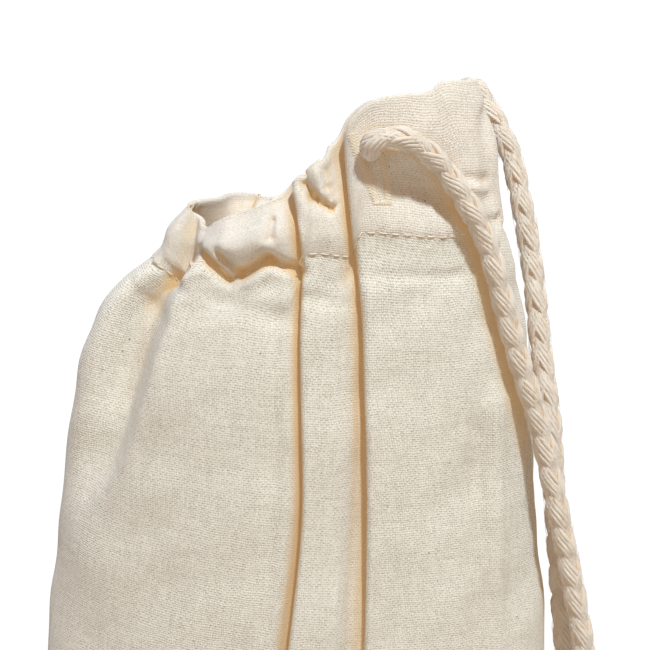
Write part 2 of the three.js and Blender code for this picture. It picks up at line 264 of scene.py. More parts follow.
# %% The bag's outline by height
BODY = 272  # of cloth from the foot to the stitches, mm
HEM = 36
SECTION_COLUMNS = ("at", "xl", "zl", "xr", "zr", "yf", "zf", "yb", "zb", "square_left", "square_right")
SECTIONS = [
    (-272, -62, 0, 62, 0, -27, 0, 27, 0, 2.4, 2.3),
    (-265, -68.5, 4, 68.5, 4, -33, 3.5, 33, 3.5, 2.3, 2.2),
    (-250, -74, 18.5, 74, 19.5, -36.5, 17, 36.5, 17, 2.2, 2.1),
    (-225, -76, 43, 76, 45, -37, 41, 37, 41, 2.1, 2),
    (-180, -75, 88, 74, 91, -34.5, 84, 33.5, 84, 1.95, 1.9),
    (-110, -71.2, 158, 68.9, 161.2, -28.5, 153.5, 25.5, 152, 1.95, 1.8),
    (-72, -66.2, 195.7, 65.6, 199, -26.5, 191.5, 23, 190, 2.05, 1.8),
    (-40, -61.2, 227.3, 63.3, 230.7, -25.5, 223.5, 22, 222, 2.2, 1.85),
    (-20, -56, 246.5, 61.2, 250.6, -24, 243.5, 22, 242, 2.4, 1.9),
    (-9, -48.3, 256.2, 58.5, 261.3, -22.5, 254.5, 22, 252.5, 2.3, 2),
    (0, -40.8, 262, 55.6, 270, -21.5, 263.5, 22.5, 261, 2.2, 2.1),
    (12, -36.9, 267, 54.6, 279, -21.5, 272, 25, 268, 2.1, 2.1),
    (24, -33.7, 272.5, 52.2, 290, -20.5, 280, 25.5, 273, 2, 2),
    (36, -29.7, 277, 46.4, 310, -18, 290, 25.5, 278, 1.9, 1.9),
]


def curve_through(xs, ys):
    """A smooth line through the points that never overshoots them."""
    xs, ys = np.array(xs, float), np.array(ys, float)
    step = np.diff(xs)
    slope = np.diff(ys) / step
    lean = np.zeros(len(xs))
    lean[0], lean[-1] = slope[0], slope[-1]
    for i in range(1, len(xs) - 1):
        if slope[i - 1] * slope[i] > 0:
            before, after = 2 * step[i] + step[i - 1], step[i] + 2 * step[i - 1]
            lean[i] = (before + after) / (before / slope[i - 1] + after / slope[i])

    def height(x):
        i = np.clip(np.searchsorted(xs, x, side="right") - 1, 0, len(xs) - 2)
        t = np.clip((x - xs[i]) / step[i], 0, 1)
        return ((2 * t**3 - 3 * t**2 + 1) * ys[i] + (t**3 - 2 * t**2 + t) * step[i] * lean[i]
                + (3 * t**2 - 2 * t**3) * ys[i + 1] + (t**3 - t**2) * step[i] * lean[i + 1])
    return height


section_columns = np.array(SECTIONS, float).T
section_curve = {name: curve_through(section_columns[0], column)
                 for name, column in zip(SECTION_COLUMNS[1:], section_columns[1:])}
TURN = np.linspace(0, 2 * math.pi, 721)


def outline(at):
    """The tube's outline at one height, from the side seam over the back, the left and the front."""
    v = {name: float(curve(at)) for name, curve in section_curve.items()}
    c, s = np.cos(TURN), np.sin(TURN)
    power = 2 / np.where(c > 0, v["square_right"], v["square_left"])
    x = (v["xl"] + v["xr"]) / 2 + (v["xr"] - v["xl"]) / 2 * np.sign(c) * np.abs(c) ** power
    y = np.where(s < 0, -v["yf"], v["yb"]) * np.sign(s) * np.abs(s) ** power
    middle = (v["zl"] + v["zr"]) / 2
    z = middle + (v["zr"] - v["zl"]) / 2 * c + (np.where(s < 0, v["zf"], v["zb"]) - middle) * s**2
    along = np.concatenate([[0], np.cumsum(np.hypot(np.diff(x), np.diff(y)))])
    return {"at": at, "x": x, "y": y, "z": z, "along": along, "length": along[-1]}


def place_of(ring, side, x):
    """How far along an outline its front or its back has this x."""
    if side == "front":
        return float(np.interp(x, ring["x"][360:], ring["along"][360:]))
    return float(np.interp(-x, -ring["x"][:361], ring["along"][:361]))


belly_ring = outline(-200)
stitch_ring = outline(0)
for name, ring in (("belly", belly_ring), ("stitches", stitch_ring)):
    print(f"round the bag at the {name}: {ring['length']:.0f} mm")

# %% [markdown]
# ## The rim, the row of stitches and the pleats
# Where the string has drawn the mouth in, neither the rim nor the row of stitches is level: both rise to the
# right and dip at every pleat. So each is a line of heights round the bag. A pleat is a flat S-fold: the
# cloth runs back under itself and out again. It is closed at the mouth and opens down the bag. One S serves
# for every pleat at every height.

# %% The rim, the row of stitches and the pleats
RIM_LINE = [  # side, x, z
    ("back", 46.4, 310), ("back", 40, 303.5), ("back", 30, 296), ("back", 18, 288), ("back", 6, 280.5),
    ("back", -8, 275.9), ("back", -12, 276.9), ("back", -18, 277.1), ("back", -24, 276.6),
    ("front", -29.7, 276.6), ("front", -27.4, 273.8), ("front", -25.4, 271.3), ("front", -24, 270.9),
    ("front", -22, 272.2), ("front", -17.2, 274.6), ("front", -9.6, 277.7), ("front", -4.4, 280.6),
    ("front", -2.4, 283.6), ("front", -0.4, 285.2), ("front", 1, 285.4), ("front", 1.7, 284.6),
    ("front", 2.6, 287), ("front", 4.3, 289.1), ("front", 6.2, 289.7), ("front", 7, 289.2),
    ("front", 8.1, 292.3), ("front", 9.8, 294), ("front", 11, 295.3), ("front", 12.1, 298.2),
    ("front", 15, 302.1), ("front", 19.3, 305.2), ("front", 26.4, 306.7), ("front", 32.9, 307.2),
    ("front", 36.7, 310), ("front", 46.4, 310),
]
STITCH_LINE = [  # side, x, z
    ("back", 55.6, 270), ("back", 40, 268), ("back", 20, 262.5), ("back", 0, 259.5), ("back", -20, 258.5),
    ("back", -34, 260), ("front", -40.8, 262), ("front", -36.6, 257.7), ("front", -32.6, 253.9),
    ("front", -29.7, 257), ("front", -27.1, 262.6), ("front", -25.5, 262.8), ("front", -22.6, 260.6),
    ("front", -18.4, 257.7), ("front", -16.8, 258), ("front", -11.9, 260.6), ("front", -8.3, 263.8),
    ("front", -4, 261.4), ("front", 0.8, 260.3), ("front", 2.2, 265.1), ("front", 7, 264.9),
    ("front", 13.5, 263.6), ("front", 16.1, 270.2), ("front", 26.4, 269.4), ("front", 38.1, 268.4),
    ("front", 46.8, 269.8), ("front", 53.9, 271.5), ("front", 55.6, 270),
]
FOLD_AT = (-272, -180, -110, -60, -20, 0, 36)
FOLDS = [  # side, depth, the fold's x at those heights, its overlap at them
    ("back", 5, (34, 38, 39, 38, 36, 32, 26), (0, 0, 2, 4, 6, 8, 9)),
    ("back", 5, (8, 8, 8, 8, 8, 9, 9), (0, 0, 2, 4, 6.5, 8.5, 9)),
    ("back", 5, (-20, -20, -21, -20, -18, -14, -8), (0, 0, 2, 4, 6, 8, 2.5)),
    ("front", 7, (-14, -12, -4.2, 0.9, 0.4, 1.1, -2.5), (0, 2.5, 7, 8.6, 9, 9, 7)),
    ("front", 7, (10, 12, 15.8, 17.1, 16.7, 14.7, 10.9), (0, 0, 3.5, 8, 11.5, 12.5, 9)),
]
PLEAT = [  # share of the pleat's cloth, how far along, how far out
    (0, -0.45, 0), (0.091, -0.2, -0.24), (0.216, 0.12, -0.8), (0.358, 0.65, -1), (0.453, 0.96, -0.93),
    (0.482, 1.02, -0.77), (0.512, 0.98, -0.6), (0.625, 0.6, -0.52), (0.767, 0.12, -0.45), (0.823, 0, -0.2),
    (0.881, 0.1, 0.07), (1, 0.5, 0),
]
PLEAT_OPENS = 12  # how far a pleat's cloth spreads where the pleat has opened, mm
PLEAT_FADE = 0.45  # below 1, so that a pleat stays deep until it is nearly open


def height_line(rows, ring):
    """The heights round one outline, by the share of the way round."""
    shares = [place_of(ring, side, x) / ring["length"] for side, x, z in rows]
    return curve_through(shares, [z for side, x, z in rows])


rim_height = height_line(RIM_LINE, outline(HEM))
stitch_height = height_line(STITCH_LINE, stitch_ring)
pleat_along = curve_through(*zip(*[(share, along) for share, along, out in PLEAT]))
pleat_out = curve_through(*zip(*[(share, out) for share, along, out in PLEAT]))
folds = [{"side": side, "depth": depth, "most": max(laps), "x": curve_through(FOLD_AT, xs),
          "overlap": curve_through(FOLD_AT, laps)} for side, depth, xs, laps in FOLDS]


def pleat(ring, fold, shares):
    """Where one pleat's cloth lies at one height: along the outline, and out from it."""
    overlap = float(fold["overlap"](ring["at"]))
    closed = overlap / fold["most"]
    edge = place_of(ring, fold["side"], float(fold["x"](ring["at"])))
    along = edge + overlap * pleat_along(shares) + (1 - closed) * PLEAT_OPENS * (shares - 0.6)
    return along, fold["depth"] * closed**PLEAT_FADE * pleat_out(shares)


# %% [markdown]
# ## Creases, puffs and the hollow shoulder
# Gathered cloth buckles where the string draws it in, and no two bags buckle alike. A cloth simulation would
# give creases too, but not these ones. So each crease is a line listed on the front or the back, as wide as
# it is soft: a negative one is a groove, a positive one a ridge or a puff. Left of the front panel the
# shoulder falls in, which leaves a sharp ridge with a hollow behind it.

# %% Creases
CREASES = [  # side, from x and z, to x and z, half width, how far out
    # the puff between the left pleat and the mouth's left corner, and the grooves under it
    ("front", -15, 269, -8, 271, 6.5, 5), ("front", -21.8, 265.5, -17, 260.3, 1.5, 0.8),
    ("front", -24.5, 267.8, -19, 268, 2.6, 1.4), ("front", -25.2, 265, -18, 258.8, 1.4, -2.8),
    ("front", -19.5, 265.5, -15.4, 260.8, 1.3, -1.8), ("front", -15, 260, -8, 264.6, 1.6, -3.4),
    ("front", -8, 264.6, 0.5, 261, 1.5, -3.3), ("front", -6.6, 273.8, -6.8, 270.4, 1.4, -2.6),
    ("front", -5.6, 279.5, -6.5, 274.4, 0.9, -0.8),
    # the rim between the two pleats
    ("front", 1.7, 283.6, 4, 280.4, 0.9, -2), ("front", 4, 280.4, 8.6, 277, 1, -3),
    ("front", 7.2, 287, 7.6, 282.6, 0.8, -1.6), ("front", 7.6, 282.6, 8.8, 280.4, 0.8, -1.4),
    ("front", -1.2, 281, 3.5, 275.6, 2, 1.2), ("front", 4.6, 286.4, 6.4, 281.8, 1.6, 1.2),
    # the row of stitches, the mouth's left corner and the shoulder
    ("front", -30, 258.5, -25, 261.5, 1.8, 0.8), ("front", -13, 258, -6.2, 261.8, 1.8, 0.9),
    ("front", -14, 274.5, -4, 279, 4, -2.5), ("front", -37, 269.5, -30.5, 267.5, 3.6, 0.8),
    ("front", -40, 260.5, -34.5, 256, 1.4, -1), ("front", -46, 255, -36.5, 246.6, 2.4, -1.1),
    ("front", -37, 260.4, -32.4, 256.4, 2.4, -1.7),
    # shallow creases and long troughs on the panels
    ("front", 17.7, 260, 42, 259.2, 1.7, -0.7), ("front", 1.9, 254.2, 16, 252, 1.7, -0.8),
    ("front", -21.6, 253.1, 0.5, 248.3, 2.2, -0.7), ("front", 47.5, 218, 48.5, 150, 3, -1.3),
    ("front", 52.8, 224, 54.2, 150, 3.4, 1.4), ("front", 12.8, 262, 12.4, 168, 2.6, -0.9),
    ("front", -4.6, 248, -8.5, 168, 3, -0.9), ("front", -37, 236, -45.8, 209.8, 3.5, 0.7),
    # the hem at the right, under the string
    ("front", 27, 284.5, 39, 284, 8, -2.2), ("front", 30, 291.5, 40.5, 282, 3, 2),
    ("front", 20, 307, 46, 308, 7, 1.6), ("front", 25, 271.5, 42, 271.5, 4.5, 1),
    ("front", 49.5, 300, 51.5, 280, 4, -1.8), ("front", 44.8, 284.8, 51.5, 283.6, 1.2, -1),
    ("front", 45.2, 282, 51, 281.3, 1.2, 0.9), ("front", 49.5, 272.4, 54, 273.2, 1.3, -1.2),
    ("front", 3, 271, 11, 270, 3.5, 0.8),
    # the back of the mouth
    ("back", 20, 268, 20, 270, 8, 2.4), ("back", -2, 266, -2, 268, 7, 2.4),
    ("back", 42, 280, 42, 282, 7, 1.5), ("back", 4, 280, -17, 277, 5.5, 5.6),
]

# %% The hollow shoulder, and how far the cloth moves
HOLLOW = [  # at, the ridge's x, how far back the cloth falls behind it
    (-272, -60, 0), (-90, -60, 0), (-74, -57, 0), (-66, -53.5, 2.2), (-61.5, -49.4, 4.2),
    (-55, -45.6, 6), (-47.5, -42.6, 7), (-40, -40.6, 9.2), (-27.5, -36.9, 12), (-11.5, -32.5, 12.5),
    (0, -28, 10), (12, -26.5, 7), (36, -26, 4),
]
ridge_x = curve_through([at for at, x, back in HOLLOW], [x for at, x, back in HOLLOW])
hollow_back = curve_through([at for at, x, back in HOLLOW], [back for at, x, back in HOLLOW])


def smooth(t):
    """A soft step from 0 to 1."""
    t = np.clip(t, 0, 1)
    return t * t * (3 - 2 * t)


def crease_out(ring, along, z):
    """How far the creases and puffs move the cloth out, in mm."""
    total = np.zeros(len(along))
    for side, x1, z1, x2, z2, half_width, out in CREASES:
        start, end = place_of(ring, side, x1), place_of(ring, side, x2)
        run, rise = end - start, z2 - z1
        t = np.clip(((along - start) * run + (z - z1) * rise) / (run * run + rise * rise), 0, 1)
        total += out * np.exp(-((along - start - t * run) ** 2 + (z - z1 - t * rise) ** 2) / half_width**2)
    return total


def fall_back(ring, along, x):
    """How far the hollow shoulder falls back behind the front panel's ridge, in mm."""
    ridge, left = float(ridge_x(ring["at"])), ring["x"].min()
    t = (ridge - x) / (ridge - left)
    front = along > ring["length"] / 2
    return float(hollow_back(ring["at"])) * front * smooth(t / 0.22) * (1 - smooth((t - 0.3) / 0.7))


# %% Small unevenness
chance = np.random.default_rng(7)
WAVES = [(chance.uniform(16, 46), chance.uniform(0, math.pi), chance.uniform(0, 6.28)) for _ in range(14)]
STEEPNESS = 0.004  # a wave's height as a share of its length
STITCH_DIP = 0.4  # how far the row of stitches pulls the cloth in, mm
SEAM_DIP = 0.8  # how far the side seam does
PUCKER = 0.1  # the little waves that sewing leaves on both sides of the stitches, mm


def waviness(ring, along):
    """The slight unevenness of washed and sewn cloth at one height, in mm."""
    at = ring["at"]
    total = np.zeros_like(along)
    for size, way, start in WAVES:
        place = along * math.cos(way) + at * math.sin(way)
        total += STEEPNESS * size * np.sin(2 * math.pi / size * place + start)
    pucker = np.sin(along * 1.31 + 0.8 * np.sin(along * 0.23)) + 0.6 * np.sin(along * 0.83 + 2)
    total = total + PUCKER * math.exp(-abs(at) / 7) * pucker - STITCH_DIP * math.exp(-(at / 1.2) ** 2)
    from_seam = np.minimum(along, ring["length"] - along)
    return total - SEAM_DIP * np.exp(-(from_seam / 1.5) ** 2)


# %% [markdown]
# ## One row of the sheet
# The sheet is made row by row. A row's points go round the outline at their height, in at each
# pleat, and then out or in by the creases. The same column is the same thread in every row, so
# every row has the same count of points between two pleats.

# %% One row of the sheet
LEFT_FOLD = 3  # the bag's left fold comes after this many pleats
FOOT_AT = -264  # below this the cloth is kept even, so that the bag stands flat
GATHERED = 11  # how far below the stitches the cloth still follows their ups and downs, mm


def row_columns(ring, runs, shares):
    """Every column's place at one height: the runs between the pleats, and the pleats."""
    stops = [pleat(ring, fold, s) for fold, s in zip(folds, shares)]
    stops.insert(LEFT_FOLD, (np.array([ring["length"] / 2]), np.zeros(1)))
    along, out, last = [], [], 0.0
    for count, (stop_along, stop_out) in zip(runs, stops):
        first = 1 if len(along) else 0
        along.extend([np.linspace(last, stop_along[0], count + 1)[first:-1], stop_along])
        out.extend([np.zeros(count - first), stop_out])
        last = stop_along[-1]
    along.append(np.linspace(last, ring["length"], runs[-1] + 1)[1:])
    out.append(np.zeros(runs[-1]))
    return np.concatenate(along), np.concatenate(out)


def row_points(at, runs, shares):
    """One row of the cloth's outside, in mm."""
    ring = outline(at)
    along, out = row_columns(ring, runs, shares)
    share = along / ring["length"]
    x, y, z = (np.interp(along, ring["along"], ring[axis]) for axis in "xyz")
    reach = 0.006 * ring["length"]
    ends = [np.array([np.interp((along + d) % ring["length"], ring["along"], ring[axis]) for axis in "xy"])
            for d in (-reach, reach)]
    forward = (ends[1] - ends[0]) / np.hypot(*(ends[1] - ends[0]))
    if at > 0:
        z = stitch_height(share) + (rim_height(share) - stitch_height(share)) * at / HEM
    elif at > -BODY:
        flat = np.interp(share, stitch_ring["along"] / stitch_ring["length"], stitch_ring["z"])
        z = z + (stitch_height(share) - flat) * math.exp(at / GATHERED)
    total = out + crease_out(ring, along, z)
    if at > FOOT_AT:
        total = total + waviness(ring, along)
    return np.stack([x + forward[1] * total, y - forward[0] * total + fall_back(ring, along, x), z], 1)


def run_counts(front, back):
    """How many columns go in each run between the pleats, at these spacings in mm on each side."""
    ring = outline(-40)
    marks = [(0, 0)]
    for fold in folds:
        if fold["side"] == "front" and marks[-1][1] < ring["length"] / 2:
            marks.append((ring["length"] / 2, ring["length"] / 2))
        along, _ = pleat(ring, fold, np.array([0, 1.0]))
        marks.append((along[0], along[1]))
    marks.append((ring["length"], 0))
    return [max(2, round((b[0] - a[1]) / (back if a[1] < ring["length"] / 2 - 1 else front)))
            for a, b in zip(marks, marks[1:])]


FRONT_SPACING = 0.8  # from column to column, mm
BACK_SPACING = 3.5
FRONT_PLEAT = 30  # points across a pleat
BACK_PLEAT = 18
runs = run_counts(FRONT_SPACING, BACK_SPACING)
shares = [np.linspace(0, 1, BACK_PLEAT if fold["side"] == "back" else FRONT_PLEAT) for fold in folds]
print("columns between the pleats:", runs)

# %% [markdown]
# ## The sheet of calico
# The sheet starts in the middle of the foot, goes up the outside, over the rim, and down the
# inside as far as the hem's stitches, so the hem is really double. The rows are closest at the
# hem, where the creases are finest.

# %% The rows of the sheet
CLOTH = 0.55  # mm
HEM_GAP = 1.9  # from the hem's outside to its inside, with the string between
PLEAT_GAP = 1.35  # the same in a pleat, which is pressed flatter
FOOT_SHARES = (0.0, 0.35, 0.7, 0.9)  # rows under the foot, as shares of its outline
INSIDE_AT = np.array([35, 33, 30.5, 27, 23, 19, 15, 11, 7, 4, 1.8, 0.6])
RIM_ANGLES = (30, 60, 90, 120, 150)

outside_at = np.concatenate([
    [-272, -270.5, -268.5, -266, -263, -259.5, -255.5, -251, -246], np.arange(-240, -110, 5.4),
    np.arange(-110, -60, 3.4), np.arange(-60, -11, 1.8), np.arange(-10, 34.2, 0.9), [35]])
rows = [row_points(at, runs, shares) for at in outside_at]
columns = len(rows[0])


def hem_gaps():
    """The hem's thickness at each column: thinner inside a pleat."""
    gaps = []
    stops = list(shares)
    stops.insert(LEFT_FOLD, np.zeros(1))
    for i, (count, stop) in enumerate(zip(runs, stops)):
        gaps.append(np.full(count - (1 if i else 0), HEM_GAP))
        inside = np.exp(-(((stop - 0.65) / 0.28) ** 4)) if len(stop) > 1 else np.zeros(1)
        gaps.append(HEM_GAP + (PLEAT_GAP - HEM_GAP) * inside)
    gaps.append(np.full(runs[-1], HEM_GAP))
    return np.concatenate(gaps)


def facing(rows):
    """The way out of the cloth at every point of a stack of rows."""
    stack = np.array(rows)
    closed = np.concatenate([stack[:, -2:-1], stack, stack[:, 1:2]], 1)
    across = closed[:, 2:] - closed[:, :-2]
    upward = np.gradient(stack, axis=0)
    out = np.cross(across, upward)
    return out / np.linalg.norm(out, axis=2)[:, :, None]


# %% Over the rim and down the inside
gap = hem_gaps()
out_ways = facing(rows)
top = rows[-1]
level = out_ways[-1].copy()
level[:, 2] = 0
level /= np.linalg.norm(level, axis=1)[:, None]

over = []
for angle in np.radians(RIM_ANGLES):
    back = (1 - math.cos(angle)) * gap / 2
    rise = math.sin(angle) * np.minimum(gap / 2, 1)
    over.append(top - level * back[:, None] + np.array([0, 0, 1]) * rise[:, None])

inside = []
for at in INSIDE_AT:
    i = int(np.argmin(np.abs(outside_at - at)))
    near_rim = max(0, (at - 25) / 10)
    way = out_ways[i] * (1 - near_rim) + level * near_rim
    pressed_gap = gap * (0.55 + 0.45 * min(1, at / 8))
    inside.append(rows[i] - way / np.linalg.norm(way, axis=1)[:, None] * pressed_gap[:, None])

foot = [rows[0] * (share, share, 1) for share in FOOT_SHARES]
sheet_rows = np.array(foot + rows + over + inside)
print("sheet:", sheet_rows.shape[0], "rows of", columns, "points")

# %% [markdown]
# ## A map of the threads
# The weave has to follow the cloth into its folds, so it can't be a pattern in space. The UV map
# "threads" is the flat cloth: across it a point goes by how far round its row it lies, and up it
# by its height on the cloth. A pattern in this map is gathered and folded as the threads are.

# %% The threads' map
MAP_WIDTH = 360  # mm of cloth
MAP_LENGTH = 400
MAP_START = -300  # the height on the cloth at the map's lower edge
FOOT_HEIGHTS = [-300, -290, -281, -275]  # on the flat cloth, for the rows under the foot
RIM_HEIGHTS = [35.5, 36, 36.5, 37, 37.5]  # and for those over the rim
MIDDLE_ROW = 44  # a row of the sheet about half way up the bag


def map_height(at):
    """A height on the flat cloth as the map has it, from 0 to 1."""
    return (at - MAP_START) / MAP_LENGTH


def thread_places(stack):
    """Each point's place in the map. Its middle, 0.5 across, is at the bag's left fold."""
    left = int(np.argmin(stack[MIDDLE_ROW][:, 0]))
    u = np.zeros(stack.shape[:2])
    for i in range(len(foot), len(stack)):
        run = run_along(stack[i])
        u[i, :left + 1] = 0.5 * run[:left + 1] / run[left]
        u[i, left + 1:] = 0.5 + 0.5 * (run[left + 1:] - run[left]) / (run[-1] - run[left])
    u[:len(foot)] = u[len(foot)]
    v = map_height(np.concatenate([FOOT_HEIGHTS, outside_at, RIM_HEIGHTS, 2 * HEM + 1 - INSIDE_AT]))
    return u, v


# %% [markdown]
# ## Building the cloth
# A grid has the sheet's rows and columns, so each of its points is moved to where the cloth lies.
# The last column lies on the first, at the side seam, and merging closes the tube. Solidify then
# gives the sheet its thickness.

# %% Build the cloth
def build_cloth():
    """The sheet as a mesh, with the threads' map."""
    bm = bmesh.new()
    bmesh.ops.create_grid(bm, x_segments=columns - 1, y_segments=len(sheet_rows) - 1, size=0.5)
    bm.verts.ensure_lookup_table()
    bm.verts.index_update()
    thread_map = bm.loops.layers.uv.new("threads")
    u, v = thread_places(sheet_rows)
    for face in bm.faces:
        for corner in face.loops:
            i, j = divmod(corner.vert.index, columns)
            corner[thread_map].uv = (u[i, j], v[i])
        face.smooth = True
    for vert in bm.verts:
        i, j = divmod(vert.index, columns)
        vert.co = Vector(sheet_rows[i, j % (columns - 1)]) * MM
    bmesh.ops.remove_doubles(bm, verts=bm.verts, dist=1e-6)
    mesh = bpy.data.meshes.new("cloth")
    bm.to_mesh(mesh)
    bm.free()
    return mesh


cloth = as_piece(build_cloth())
thickness = cloth.modifiers.new("thickness", "SOLIDIFY")
thickness.thickness = CLOTH * MM
thickness.offset = -1
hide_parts("bag_cloth")
print("cloth:", len(cloth.data.polygons), "faces")

# %% [markdown]
# ## The hem's row of stitches
# A lockstitch runs round the hem: short stitches of fine cotton that dip into the cloth at their
# ends. Each one is its own short thread, laid on the cloth's own row of points just above the dip
# that the sewing pulls in. The seam at the side is sewn from inside, so it shows as a groove
# alone.

# %% The hem's lockstitch
SEWING = 0.3  # the thread's diameter, mm
STITCH = 3.2  # from stitch to stitch, mm
STITCH_SHARE = 0.8  # of that which shows as thread
DIP = np.array([-0.35, 0.02, 0.08, 0.08, 0.02, -0.35])  # a stitch's height along it, mm

near_stitches = [row_points(at, runs, shares) for at in (0.6, 1.2, 1.8)]
sewn_out = facing(near_stitches)[1]
sewn_row = near_stitches[1]
sewn_along = run_along(sewn_row)
stitches = []
for start in np.arange(0.5, sewn_along[-1] - STITCH, STITCH):
    stops = start + np.linspace(0, STITCH * STITCH_SHARE, len(DIP))
    middle = np.stack([np.interp(stops, sewn_along, sewn_row[:, i]) for i in range(3)], 1)
    way = np.stack([np.interp(stops, sewn_along, sewn_out[:, i]) for i in range(3)], 1)
    stitches.append((middle + way * DIP[:, None], 1))
hem_stitches = as_piece(thread_mesh("hem_stitches", SEWING, stitches))
print("hem stitches:", len(stitches))

# %% [markdown]
# ## The buttonhole
# The string leaves the hem through a buttonhole: a slit with a narrow box of zigzag round it, sewn
# so densely that the threads cover the cut edges. The zigzag is worked out on a flat line in x and
# z, and a ray from the front finds the cloth under each of its points.

# %% The buttonhole
THREAD_LIFT = 0.17  # how far the zigzag's middle lies off the cloth, mm
THREAD_SUNK = -0.1  # how far its turns go in
BUTTONHOLE = [  # the zigzag's middle line in x and z, its width, its pitch
    ([(13.6, 296.8), (15.1, 292.2), (16.5, 289), (18.2, 285.6), (19.5, 281.6), (20.4, 279.2)], 2.9, 0.75),
    ([(21.2, 291.5), (22.3, 288.2), (23, 283.4), (23.3, 279.4)], 2.2, 0.75),
    ([(19.6, 278.9), (24, 278.7)], 1.5, 0.7),
]
SLANT = 0.3  # how far a zigzag leans forward, mm
skin = BVHTree.FromObject(cloth, bpy.context.evaluated_depsgraph_get())


def on_front(x, z, lift):
    """The point this far out from the cloth's front face at x and z, in mm."""
    place, way, *_ = skin.ray_cast(Vector((x, -80, z)) * MM, Vector((0, 1, 0)))
    return np.array(place / MM + way * lift)


def zigzag(middle, width, pitch):
    """A zigzag thread on the front, along a line of x and z points."""
    line = np.array(middle, float)
    along = run_along(line)
    stops = np.arange(0, along[-1], pitch / 2)
    spots = np.stack([np.interp(stops, along, line[:, i]) for i in range(2)], 1)
    ahead = np.gradient(spots, axis=0)
    ahead /= np.linalg.norm(ahead, axis=1)[:, None]
    across = np.stack([-ahead[:, 1], ahead[:, 0]], 1)
    points = []
    for i, (spot, side, front) in enumerate(zip(spots, across, ahead)):
        for share in (1, 0.4, -0.4) if i % 2 else (-1, -0.4, 0.4):
            forward = SLANT + pitch / 4 * (1 - abs(share))
            x, z = spot + side * share * width / 2 + front * forward
            points.append(on_front(x, z, THREAD_SUNK if abs(share) == 1 else THREAD_LIFT))
    return points


zigzags = [(zigzag(middle, width, pitch), 1) for middle, width, pitch in BUTTONHOLE]
buttonhole = as_piece(thread_mesh("buttonhole", SEWING, zigzags))
print("buttonhole:", len(buttonhole.data.polygons), "faces")

# %% [markdown]
# ## Seed flecks
# Unbleached cotton still holds crumbs of the seed's husk. They are small, flat and brown, caught
# between the threads with no order at all, and they show at once that nobody bleached the cloth.
# The largest in front are listed one by one, and chance strews the others over the whole bag.

# %% Flecks
FLECKS = [  # x and z on the front, length, mm
    (-9.8, 240.1, 0.7), (8.3, 269, 0.6), (33, 279, 0.7), (23.6, 199, 0.5), (34.8, 185.3, 0.6),
    (59.9, 163.8, 0.6), (-45.9, 240.5, 0.8), (-47.8, 237.3, 0.6), (-53, 232.6, 0.6),
]
STREWN = 90
FLECK_LIFT = 0.02  # mm


def lay_fleck(bm, place, way, length, turn):
    """One flat, longish crumb on the cloth."""
    made = bmesh.ops.create_icosphere(bm, subdivisions=1, radius=length / 2 * MM)["verts"]
    bmesh.ops.scale(bm, vec=(1, 0.55, 0.3), verts=made)
    bmesh.ops.rotate(bm, matrix=Matrix.Rotation(turn, 3, "Z"), verts=made)
    bmesh.ops.rotate(bm, matrix=Vector(way).to_track_quat("Z", "Y").to_matrix(), verts=made)
    bmesh.ops.translate(bm, vec=Vector(place) * MM, verts=made)


bm = bmesh.new()
chance = np.random.default_rng(11)
for x, z, length in FLECKS:
    way = on_front(x, z, 1) - on_front(x, z, 0)
    lay_fleck(bm, on_front(x, z, FLECK_LIFT), way, length, chance.uniform(0, 3.1))
for _ in range(STREWN):
    i = chance.integers(10, len(rows) - 2)
    j = chance.integers(0, columns - 1)
    share = chance.uniform(0, 1)
    place = rows[i][j] * (1 - share) + rows[i + 1][j] * share + out_ways[i][j] * FLECK_LIFT
    length = chance.uniform(0.25, 0.55)
    lay_fleck(bm, place, out_ways[i][j], length, chance.uniform(0, 3.1))
fleck_mesh = bpy.data.meshes.new("seed_flecks")
bm.to_mesh(fleck_mesh)
bm.free()
flecks = as_piece(fleck_mesh)
print("seed flecks:", len(FLECKS) + STREWN)

# %% [markdown]
# ## Materials
# Cotton is matt all over, so its look comes from its threads: their small shadows, the gaps
# between them, and the light that they let through. Colours are written as sRGB codes, which one
# function turns into the linear values that shaders work in. Another adds a node with its
# settings, and gives each of its inputs a value or a link.

# %% Colour and node helpers
def linear(code):
    """A colour from its sRGB hex code, as the linear values that shaders work in."""
    parts = [int(code[i:i + 2], 16) / 255 for i in (1, 3, 5)]
    return (*[c / 12.92 if c <= 0.04045 else ((c + 0.055) / 1.055) ** 2.4 for c in parts], 1)


def feed(material, node, inputs):
    """Gives a node's inputs their values or links, by name or in their order."""
    for name, value in inputs.items() if isinstance(inputs, dict) else enumerate(inputs):
        if isinstance(value, bpy.types.Node):
            value = value.outputs[0]
        if isinstance(value, bpy.types.NodeSocket):
            material.node_tree.links.new(value, node.inputs[name])
        else:
            node.inputs[name].default_value = value


def add(material, kind, inputs=(), **settings):
    """Adds a node to a material, with its settings and its inputs."""
    made = material.node_tree.nodes.new("ShaderNode" + kind)
    for name, value in settings.items():
        setattr(made, name, value)
    feed(material, made, inputs)
    return made


def set_stops(ramp, *stops):
    """Places a colour ramp's two stops, each a position and a colour code."""
    for element, (position, code) in zip(ramp.color_ramp.elements, stops):
        element.position = position
        element.color = linear(code)


def new_material(name, pieces):
    """A new material on these pieces, and its shader."""
    material = bpy.data.materials.new(name)
    material.use_nodes = True
    for piece in pieces:
        piece.data.materials.clear()
        piece.data.materials.append(material)
    print("material:", name)
    return material, material.node_tree.nodes["Principled BSDF"]


# %% [markdown]
# ## Calico: the weave
# Calico is a plain weave of unbleached cotton: each warp thread goes over one weft thread and
# under the next. Two sine waves, one across the map and one up it, make both: a thread is highest
# along its middle, and the waves' product says which of the two lies on top where they cross. Spun
# yarn is never even, so each thread has its own tone, which changes slowly along it, and a slow
# noise shifts the map a little, so that no thread is quite straight.

